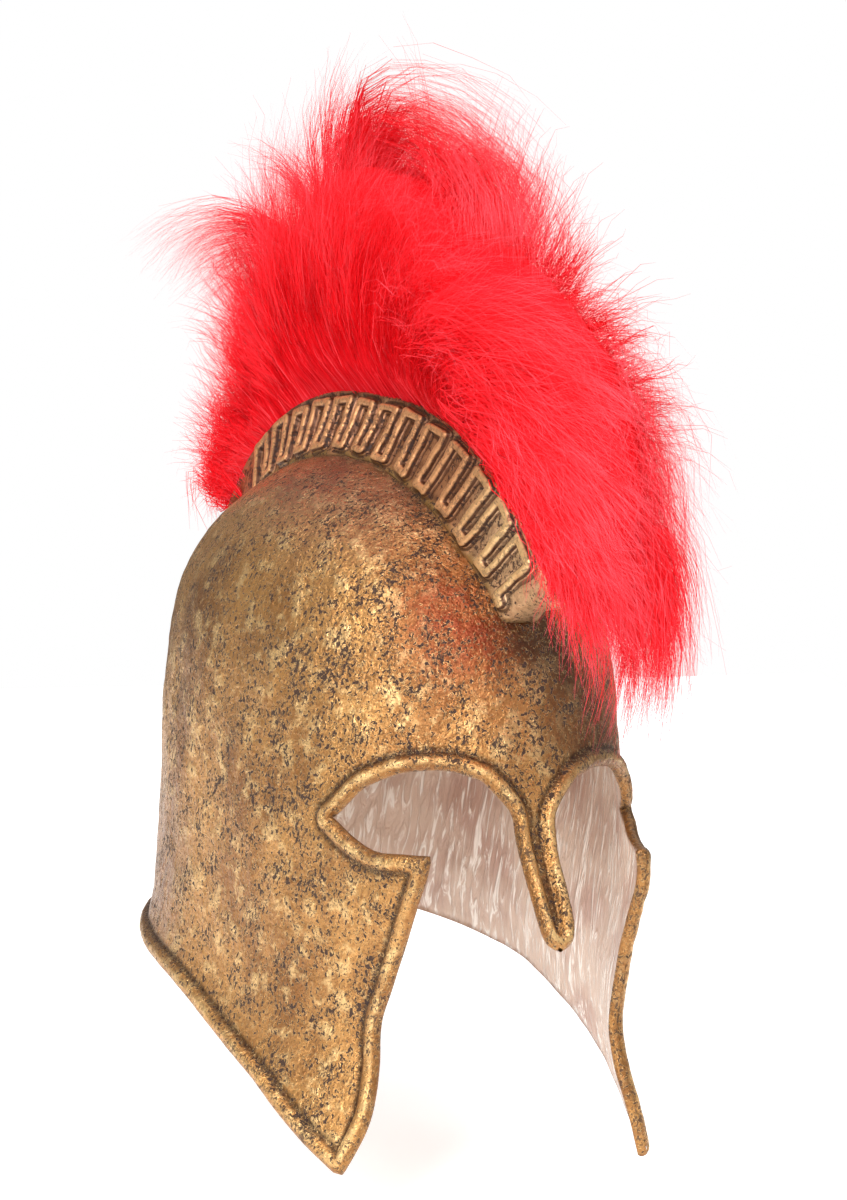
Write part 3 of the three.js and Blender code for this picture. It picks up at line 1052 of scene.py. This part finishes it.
def strand_tree(finish):
    """Grows a bunch of tapering flat strands along every lock."""
    tree = bpy.data.node_groups.new("fur_strands", "GeometryNodeTree")
    face = tree.interface
    face.new_socket("Geometry", in_out="INPUT", socket_type="NodeSocketGeometry")
    face.new_socket("Strands", in_out="INPUT", socket_type="NodeSocketInt")
    face.new_socket("Width", in_out="INPUT", socket_type="NodeSocketFloat")
    face.new_socket("Frizz", in_out="INPUT", socket_type="NodeSocketFloat")
    face.new_socket("Seed", in_out="INPUT", socket_type="NodeSocketInt")
    face.new_socket("Geometry", in_out="OUTPUT", socket_type="NodeSocketGeometry")
    graph = Graph(tree)
    given = graph.add("NodeGroupInput").outputs
    curves = graph.add("GeometryNodeMeshToCurve", None, {"Mesh": given["Geometry"]}).outputs["Curve"]
    copies = graph.add(
        "GeometryNodeDuplicateElements",
        {"domain": "SPLINE"},
        {"Geometry": curves, "Amount": given["Strands"]},
    ).outputs["Geometry"]
    strand = graph.add("GeometryNodeCurveOfPoint").outputs["Curve Index"]
    along = Value(graph, graph.add("GeometryNodeSplineParameter").outputs["Factor"])

    def chance(kind, low, high, shift):
        seed = graph.math("ADD", given["Seed"], shift)
        first, output = {"FLOAT": (2, 1), "FLOAT_VECTOR": (0, 0)}[kind]
        inputs = {first: low, first + 1: high, "ID": strand, "Seed": seed}
        return graph.add("FunctionNodeRandomValue", {"data_type": kind}, inputs).outputs[output]

    def stored(name, kind):
        inputs = {"Name": name}
        return graph.add("GeometryNodeInputNamedAttribute", {"data_type": kind}, inputs).outputs["Attribute"]

    root = stored("root", "FLOAT_VECTOR")
    spread = stored("spread", "FLOAT")
    place = graph.add("GeometryNodeInputPosition").outputs["Position"]
    length = chance("FLOAT", 0.72, 1.05, 1)
    grown = graph.vector("ADD", root, graph.scaled(graph.vector("SUBTRACT", place, root), length))
    aside = graph.scaled(chance("FLOAT_VECTOR", (-1, -1, -1), (1, 1, 1), 2), spread)
    finer = graph.scaled(grown, 1 / FRIZZ_SIZE)
    wander = graph.vector("ADD", finer, chance("FLOAT_VECTOR", (0, 0, 0), (9, 9, 9), 3))
    waves = {"Vector": wander, "Scale": 1.0, "Detail": 1.0}
    ripple = graph.add("ShaderNodeTexNoise", None, waves).outputs["Color"]
    centred = graph.vector("SUBTRACT", ripple, (0.5, 0.5, 0.5))
    frizz = graph.scaled(centred, Value(graph, given["Frizz"]) * (0.15 + along))
    stray = graph.scaled(chance("FLOAT_VECTOR", (-1, -1, -1), (1, 1, 1), 6), given["Frizz"])
    parted = graph.vector("ADD", aside, graph.scaled(stray, along ** 2.2 * 0.8))
    offset = graph.vector("ADD", parted, frizz)
    moved = graph.add(
        "GeometryNodeSetPosition", None, {"Geometry": copies, "Position": grown, "Offset": offset}
    ).outputs["Geometry"]
    tilt = chance("FLOAT_VECTOR", (-0.55, -0.55, -0.55), (0.55, 0.55, 0.55), 4)
    facing = graph.vector("ADD", stored("outward", "FLOAT_VECTOR"), tilt)
    faced = graph.add(
        "GeometryNodeSetCurveNormal", {"mode": "FREE"}, {"Curve": moved, "Normal": facing}
    ).outputs["Curve"]
    for name, value in (("along", along), ("tint", chance("FLOAT", 0.0, 1.0, 5))):
        faced = graph.add(
            "GeometryNodeStoreNamedAttribute",
            {"data_type": "FLOAT", "domain": "POINT"},
            {"Geometry": faced, "Name": name, "Value": value},
        ).outputs["Geometry"]
    line = graph.add("GeometryNodeCurvePrimitiveLine", None, {"Start": (0, -0.5, 0), "End": (0, 0.5, 0)})
    taper = Value(graph, given["Width"]) * (1 - 0.86 * along ** 1.6)
    ribbons = graph.add(
        "GeometryNodeCurveToMesh",
        None,
        {"Curve": faced, "Profile Curve": line.outputs["Curve"], "Scale": taper},
    ).outputs["Mesh"]
    smooth = graph.add("GeometryNodeSetShadeSmooth", None, {"Geometry": ribbons}).outputs["Geometry"]
    realized = graph.add("GeometryNodeRealizeInstances", None, {"Geometry": smooth}).outputs["Geometry"]
    painted = graph.add("GeometryNodeSetMaterial", None, {"Geometry": realized, "Material": finish})
    out = graph.add("NodeGroupOutput")
    graph.feed(out.inputs["Geometry"], painted.outputs["Geometry"])
    return tree


def grow(name, locks, spread, tree, strands, width, frizz, seed):
    """Strands along the locks as one plain mesh, which stands for part of the plume."""
    guides = guide_object(name + "_guides", locks, spread)
    modifier = guides.modifiers.new("strands", "NODES")
    modifier.node_group = tree
    given = {"Strands": strands, "Width": width * MM, "Frizz": frizz * MM, "Seed": seed}
    for item in tree.interface.items_tree:
        if item.in_out == "INPUT" and item.name in given:
            modifier[item.identifier] = given[item.name]
    bpy.context.view_layer.update()
    depsgraph = bpy.context.evaluated_depsgraph_get()
    mesh = bpy.data.meshes.new_from_object(guides.evaluated_get(depsgraph))
    mesh.name = name
    bpy.data.objects.remove(guides)
    for label in ("root", "outward", "spread"):
        layer = mesh.attributes.get(label)
        if layer:
            mesh.attributes.remove(layer)
    stands_for(new_object(name, mesh), "plume")


STRANDS_PER_LOCK = 17
LOCKS_PER_PIECE = 580


def make_plume(fur, under_fur):
    make_plume_core(under_fur)
    tree = strand_tree(fur)
    draw = np.random.default_rng(7)
    stretches = {
        "plume_front": (0.0, 0.27),
        "plume_brow": (0.25, 0.52),
        "plume_crown": (0.5, 0.76),
        "plume_back": (0.74, 1.0),
    }
    for seed, (name, (first, last)) in enumerate(stretches.items()):
        locks = form_locks(draw, LOCKS_PER_PIECE, first, last)
        spread = draw.uniform(2.0, 4.6, len(locks))
        grow(name, locks, spread, tree, STRANDS_PER_LOCK, STRAND_WIDTH, FRIZZ, 10 + seed)
    wisps = [strand_path(places, count, draw, scatter) for places, count, scatter in FREE_WISPS]
    locks = np.vstack(wisps)
    grow("plume_wisps", locks, draw.uniform(1.5, 4.0, len(locks)), tree, 24, 0.3, 8.0, 30)
    places, count, scatter = FOREHEAD_WISP
    locks = strand_path(places, count, draw, scatter)
    grow("plume_forehead_wisp", locks, np.full(count, 2.4), tree, 9, 0.26, 9.0, 31)


# ---- Finishes ----
class Finish(Graph):
    """A material under construction, with the textures that several finishes share."""

    def __init__(self, name):
        self.material = bpy.data.materials.new(name)
        self.material.use_nodes = True
        super().__init__(self.material.node_tree)
        self.tree.nodes.clear()
        self.place = self.add("ShaderNodeTexCoord").outputs["Object"]
        self.colour = None

    def noise(self, size, detail=3.0, roughness=0.55, distortion=0.0, stretch=None):
        """Noise from 0 to 1 with lumps of a size in millimetres."""
        place = self.place
        if stretch:
            place = self.add("ShaderNodeMapping", None, {"Vector": place, "Scale": stretch}).outputs[0]
        inputs = {
            "Vector": place,
            "Scale": 1 / (size * MM),
            "Detail": detail,
            "Roughness": roughness,
            "Distortion": distortion,
        }
        return Value(self, self.add("ShaderNodeTexNoise", None, inputs).outputs[0])

    def zone(self, x, y, height, full, none):
        """1 near a place over the eye line, easing to 0; distances in millimetres."""
        centre = tuple(placed([x, y, height]))
        node = self.add("ShaderNodeVectorMath", {"operation": "DISTANCE"}, {0: self.place, 1: centre})
        ragged = Value(self, node.outputs["Value"]) * 1000 + self.noise(14) * 22 - 11
        return self.between(ragged, full, none, 1.0, 0.0)

    def stored(self, name):
        return Value(self, self.add("ShaderNodeAttribute", {"attribute_name": name}).outputs["Fac"])

    def mix(self, first, second, share):
        inputs = {0: share, 6: first, 7: second}
        return self.add("ShaderNodeMix", {"data_type": "RGBA"}, inputs).outputs[2]

    def lay(self, paint, share):
        """Paints over the colour so far, by a share."""
        self.colour = self.mix(self.colour, paint, share)

    def finish(self, inputs, height=None, strength=0.5, depth=0.6):
        if height is not None:
            bump = {"Height": height, "Strength": strength, "Distance": depth * MM}
            inputs = {**inputs, "Normal": self.add("ShaderNodeBump", None, bump).outputs[0]}
        shader = self.add("ShaderNodeBsdfPrincipled", None, inputs).outputs[0]
        self.add("ShaderNodeOutputMaterial", None, {"Surface": shader})
        return self.material


def paint_colour(red, green, blue):
    """A colour given as 0 to 255 on screen."""
    def linear(level):
        share = level / 255
        return share / 12.92 if share <= 0.04045 else ((share + 0.055) / 1.055) ** 2.4

    return (linear(red), linear(green), linear(blue), 1.0)


GOLD = paint_colour(198, 146, 86)
PALE_GOLD = paint_colour(240, 200, 138)
BROWN_GOLD = paint_colour(136, 88, 48)
COPPER = paint_colour(134, 58, 34)
PLUM_BROWN = paint_colour(140, 104, 88)
SOOT = paint_colour(50, 32, 26)
# Brown laid on as painted shade on the forehead and the low back.
SHADE_BROWN = paint_colour(104, 60, 36)
PIT_BROWN = paint_colour(54, 32, 24)
CREAM_GOLD = paint_colour(226, 188, 142)
OLIVE = paint_colour(158, 122, 66)


def aged_bronze():
    finish = Finish("aged_bronze")
    streaky = finish.noise(30, 3.0, 0.55, 0.0, (1.0, 1.0, 0.4))
    middle = finish.noise(8, 4.0, 0.6)
    fine = finish.noise(2.2, 4.0, 0.65)
    finish.colour = finish.mix(GOLD, BROWN_GOLD, finish.between(streaky, 0.44, 0.66) * 0.8)
    finish.lay(PALE_GOLD, finish.between(middle, 0.5, 0.66) * 0.75)
    finish.lay(BROWN_GOLD, finish.between(fine, 0.48, 0.7) * 0.65)
    plum = finish.zone(-12, 0, 116, 22, 78) * 0.6
    finish.lay(PLUM_BROWN, plum)
    copper = finish.zone(-24, -92, 78, 6, 42) * finish.between(middle, 0.3, 0.6, 0.55, 1.0)
    finish.lay(COPPER, copper * 0.95)
    # Painted shade: dark brown on the forehead just off the middle, on the side that turns away from the key
    # light.
    brow = finish.zone(30, -104, 44, 12, 44)
    finish.lay(SHADE_BROWN, brow * 0.75)
    # Painted shade: uneven dark brown over the low back of the shell, darkening it against the light thrown
    # up from the floor.
    nape = finish.zone(-74, 46, -62, 12, 66)
    finish.lay(SHADE_BROWN, nape * finish.between(middle, 0.35, 0.65, 0.5, 0.85))
    soot = finish.zone(10, -98, 74, 6, 30)
    finish.lay(SOOT, soot * 0.85)
    edge = finish.stored("edge")
    # Pale gold along the bead's ridge: partly paint rubbed bright on the high line, partly a painted
    # highlight.
    ridge = finish.between(edge, 4.4, 3.0) * finish.between(edge, 0.6, 2.0)
    finish.lay(PALE_GOLD, ridge * finish.between(middle, 0.35, 0.6, 0.1, 0.5))
    # Painted shade: dark brown in the crease behind the bead.
    crease_shade = finish.between(edge, 4.4, 6.0) * finish.between(edge, 9.0, 6.6)
    finish.lay(PIT_BROWN, crease_shade * finish.between(fine, 0.3, 0.7, 0.6, 0.95))
    lip = finish.between(edge, 1.6, 0.2) * finish.between(middle, 0.35, 0.6, 0.2, 0.7)
    finish.lay(BROWN_GOLD, lip)
    cluster = finish.noise(14, 3.0, 0.55)
    grain = finish.noise(1.4, 2.0, 0.55, 0.5, (1.0, 1.0, 0.75)) + cluster * 0.36
    pits = finish.between(grain, 0.755, 0.79)
    # Painted highlight: pale gold halos round the pits, standing in for glints on their raised rims.
    pit_rim_highlights = finish.between(grain, 0.71, 0.745) * finish.between(grain, 0.79, 0.755)
    peel = finish.noise(0.85, 2.0, 0.6, 0.4) + cluster * 0.42
    specks = finish.between(peel, 0.80, 0.84)
    open_metal = finish.between(edge, 0.5, 4.5, 0.75, 1.0)
    marks = (1 - (1 - pits) * (1 - specks * 0.75)) * open_metal
    finish.lay(PALE_GOLD, pit_rim_highlights * 0.45)
    finish.lay(PIT_BROWN, marks * 0.95)
    height = middle * 1.3 + fine * 0.9 - pits * 0.6 - specks * 0.25
    inputs = {
        "Base Color": finish.colour,
        "Metallic": finish.between(marks, 0.0, 1.0, 0.8, 0.1),
        "Roughness": finish.between(fine, 0.3, 0.7, 0.25, 0.4) + marks * 0.35,
    }
    return finish.finish(inputs, height, 1.0, 1.0)


def aged_gold():
    finish = Finish("aged_gold")
    relief = finish.stored("relief")
    level = finish.stored("level")
    middle = finish.noise(8, 4.0, 0.6)
    fine = finish.noise(2.0, 4.0, 0.65)
    share = finish.between(middle, 0.4, 0.66)
    finish.colour = finish.mix(paint_colour(170, 118, 80), paint_colour(112, 70, 44), share)
    front = finish.zone(0, -110, 108, 24, 60)
    finish.lay(CREAM_GOLD, front * finish.between(fine, 0.4, 0.62, 0.8, 0.45))
    low = finish.between(level, 0.17, 0.05)
    finish.lay(OLIVE, low * finish.between(middle, 0.3, 0.6, 0.2, 0.7))
    raised = finish.between(relief, 0.5, 0.95)
    ridge_gold = finish.mix(paint_colour(224, 164, 110), PALE_GOLD, front)
    finish.lay(ridge_gold, raised * finish.between(fine, 0.3, 0.7, 1.0, 0.55))
    # Painted shade: dark brown in the grooves beside the meander and along the flanks of its raised lines.
    side = finish.between(relief, -0.1, -0.3) * 0.8
    side = side + finish.between(relief, 0.0, 0.15) * finish.between(relief, 0.8, 0.5) * (1 - side)
    finish.lay(paint_colour(72, 38, 20), side * finish.between(middle, 0.3, 0.7, 1.0, 0.75))
    grain = finish.noise(1.5, 3.0, 0.62, 0.5) + finish.noise(11, 2.0) * 0.45
    pits = finish.between(grain, 0.78, 0.83)
    finish.lay(PIT_BROWN, pits * finish.between(relief, 0.9, 0.4, 0.45, 0.9))
    foot = finish.between(level, 0.04, 0.0)
    finish.lay(PIT_BROWN, foot * 0.7)
    sooty = finish.zone(6, -112, 98, 3, 14)
    finish.lay(paint_colour(96, 58, 38), sooty * 0.7)
    height = middle * 0.7 + fine * 0.35 - pits * 0.55
    inputs = {
        "Base Color": finish.colour,
        "Metallic": finish.between(pits, 0.0, 1.0, 0.5, 0.1),
        "Roughness": finish.between(fine, 0.3, 0.7, 0.36, 0.5) + pits * 0.25,
    }
    return finish.finish(inputs, height, 0.9, 0.8)


def cream_latex():
    """The bare inside of the casting, glossy and wrinkled low down, with pale streaks of painted highlight
    over the wrinkles.
    """
    finish = Finish("cream_latex")
    broad = finish.noise(30, 3.0)
    share = finish.between(broad, 0.4, 0.7)
    finish.colour = finish.mix(paint_colour(214, 188, 168), paint_colour(190, 154, 136), share)
    pleats_and_sheen = finish.noise(3.2, 3.0, 0.6, 1.2, (1.0, 1.0, 0.16))
    # Painted highlight: near-white vertical streaks over the wrinkles stand in for the glossy latex's shine.
    finish.lay(paint_colour(250, 240, 228), finish.between(pleats_and_sheen, 0.5, 0.62) * 0.9)
    edge = finish.stored("edge")
    smear = finish.between(edge + finish.noise(3) * 3, 4.2, 1.2)
    finish.lay(BROWN_GOLD, smear * 0.85)
    height = pleats_and_sheen * 1.6 + finish.noise(9) * 0.5
    inputs = {"Base Color": finish.colour, "Roughness": finish.between(pleats_and_sheen, 0.4, 0.65, 0.4, 0.18)}
    return finish.finish(inputs, height, 0.9, 1.2)


def red_fur():
    finish = Finish("red_fur")
    along = finish.stored("along")
    tint = finish.stored("tint")
    vivid = paint_colour(250, 26, 40)
    finish.colour = finish.mix(paint_colour(234, 20, 34), vivid, finish.between(along, 0.05, 0.45))
    # Paler pink tips: partly the fur's own paler ends, partly painted light shining through them.
    finish.lay(paint_colour(255, 118, 134), finish.between(along, 0.78, 1.0) * 0.7)
    finish.lay(paint_colour(255, 84, 96), finish.between(tint, 0.72, 1.0) * 0.6)
    finish.lay(paint_colour(216, 10, 26), finish.between(tint, 0.28, 0.0) * 0.55)
    lumps = finish.noise(22, 2.0)
    finish.lay(paint_colour(222, 12, 26), finish.between(lumps, 0.5, 0.68) * 0.45)
    inputs = {
        "Base Color": finish.colour,
        "Roughness": finish.between(tint, 0.0, 1.0, 0.55, 0.68),
        # Painted light: a faint glow in the fur's own colour fills its shadows.
        "Specular IOR Level": 0.3,
        "Emission Color": finish.colour,
        "Emission Strength": 0.07,
    }
    return finish.finish(inputs)


def deep_fur():
    finish = Finish("red_under_fur")
    streaks = finish.noise(1.6, 3.0, 0.6, 0.4, (1.0, 0.35, 0.2))
    share = finish.between(streaks, 0.3, 0.6)
    finish.colour = finish.mix(paint_colour(226, 18, 32), paint_colour(250, 28, 42), share)
    inputs = {
        "Base Color": finish.colour,
        "Roughness": 0.75,
        "Specular IOR Level": 0.2,
        # Painted light: a faint glow in the under-fur's own colour fills its shadows.
        "Emission Color": finish.colour,
        "Emission Strength": 0.07,
    }
    return finish.finish(inputs, streaks, 0.5, 1.0)


def pale_floor():
    finish = Finish("pale_floor")
    tone = finish.noise(400, 2.0)
    finish.colour = finish.mix(paint_colour(250, 250, 250), paint_colour(246, 246, 246), tone)
    inputs = {
        "Base Color": finish.colour,
        "Roughness": 0.9,
        "Specular IOR Level": 0.1,
        "Emission Color": (1, 1, 1, 1),
        "Emission Strength": 0.5,
    }
    return finish.finish(inputs)


# ---- Studio ----
FLOOR_DROP = 30
CAMERA_TURN = -30.0
CAMERA_TILT = 15.5
CAMERA_ROLL = 7.3
CAMERA_DISTANCE = 2400
LENS = 186.5
CAMERA_CENTRE = (0, -10, 0)
FLOOR_HALF = 0.6
AIM_RIGHT = 11.43
AIM_UP = 58.9


def make_floor(finish):
    half = FLOOR_HALF
    lowest = cad_box[0][2] - FLOOR_DROP * MM
    mesh = bpy.data.meshes.new("floor")
    corners = [(x * half, y * half, lowest) for x, y in ((-1, -1), (1, -1), (1, 1), (-1, 1))]
    mesh.from_pydata(corners, [], [(0, 1, 2, 3)])
    mesh.materials.append(finish)
    new_object("floor", mesh)


def add_light(name, place, aim, width, tall, power):
    data = bpy.data.lights.new(name, "AREA")
    data.shape = "RECTANGLE"
    data.size = width
    data.size_y = tall
    data.energy = power
    light = new_object(name, data)
    light.location = place
    light.rotation_euler = (Vector(aim) - Vector(place)).to_track_quat("-Z", "Y").to_euler()


def light_studio():
    """A white sweep to look at, and a softer room light, brighter overhead, to shape the metal."""
    world = bpy.data.worlds.new("studio")
    world.use_nodes = True
    graph = Graph(world.node_tree)
    graph.tree.nodes.clear()
    way = graph.add("ShaderNodeTexCoord").outputs["Generated"]
    height = Value(graph, graph.add("ShaderNodeSeparateXYZ", None, {"Vector": way}).outputs["Z"])
    dimmed = graph.between(height, -0.3, 0.9, 0.12, 0.75)
    room = graph.add("ShaderNodeBackground", None, {"Strength": dimmed})
    room.inputs["Color"].default_value = (1, 1, 1, 1)
    sweep = graph.add("ShaderNodeBackground", None, {"Color": (1, 1, 1, 1), "Strength": 1.0})
    seen = graph.add("ShaderNodeLightPath").outputs["Is Camera Ray"]
    light = graph.add("ShaderNodeMixShader", None, {0: seen, 1: room.outputs[0], 2: sweep.outputs[0]})
    graph.add("ShaderNodeOutputWorld", None, {"Surface": light.outputs[0]})
    bpy.context.scene.world = world
    middle = (0, 0, 0.02)
    add_light("key", (-1.6, -1.35, 1.1), middle, 0.6, 1.5, 47)
    add_light("overhead", (-0.4, -0.4, 2.2), middle, 1.6, 1.6, 27)
    add_light("fill", (1.5, -1.7, 0.5), middle, 1.0, 1.2, 6)
    add_light("back", (0.8, 1.8, 1.2), middle, 1.2, 1.2, 3)
    bpy.context.scene.view_settings.view_transform = "Standard"


def place_camera():
    turn, tilt, roll = (math.radians(v) for v in (CAMERA_TURN, CAMERA_TILT, CAMERA_ROLL))
    back = Vector((math.sin(turn) * math.cos(tilt), -math.cos(turn) * math.cos(tilt), math.sin(tilt)))
    level = Vector((math.cos(turn), math.sin(turn), 0))
    upright = back.cross(level)
    right = math.cos(roll) * level + math.sin(roll) * upright
    up = -math.sin(roll) * level + math.cos(roll) * upright
    centre = Vector(CAMERA_CENTRE)
    aim = centre + right * AIM_RIGHT + up * AIM_UP
    eye = centre + back * CAMERA_DISTANCE
    forward = (aim - eye).normalized()
    side = forward.cross(up).normalized()
    top = side.cross(forward)
    data = bpy.data.cameras.new("camera")
    data.lens = LENS
    data.sensor_width = 36
    data.sensor_fit = "AUTO"
    data.clip_end = 50
    camera = new_object("camera", data)
    matrix = camera.matrix_world.to_3x3()
    matrix.col[0], matrix.col[1], matrix.col[2] = side, top, -forward
    camera.matrix_world = matrix.to_4x4()
    camera.location = Vector(placed(eye))
    bpy.context.scene.camera = camera


# ---- Assembly ----
place_camera()
light_studio()
make_floor(pale_floor())
shell = make_shell(aged_bronze(), cream_latex())
make_crest_holder(surface_of(shell), aged_gold())
make_plume(red_fur(), deep_fur())
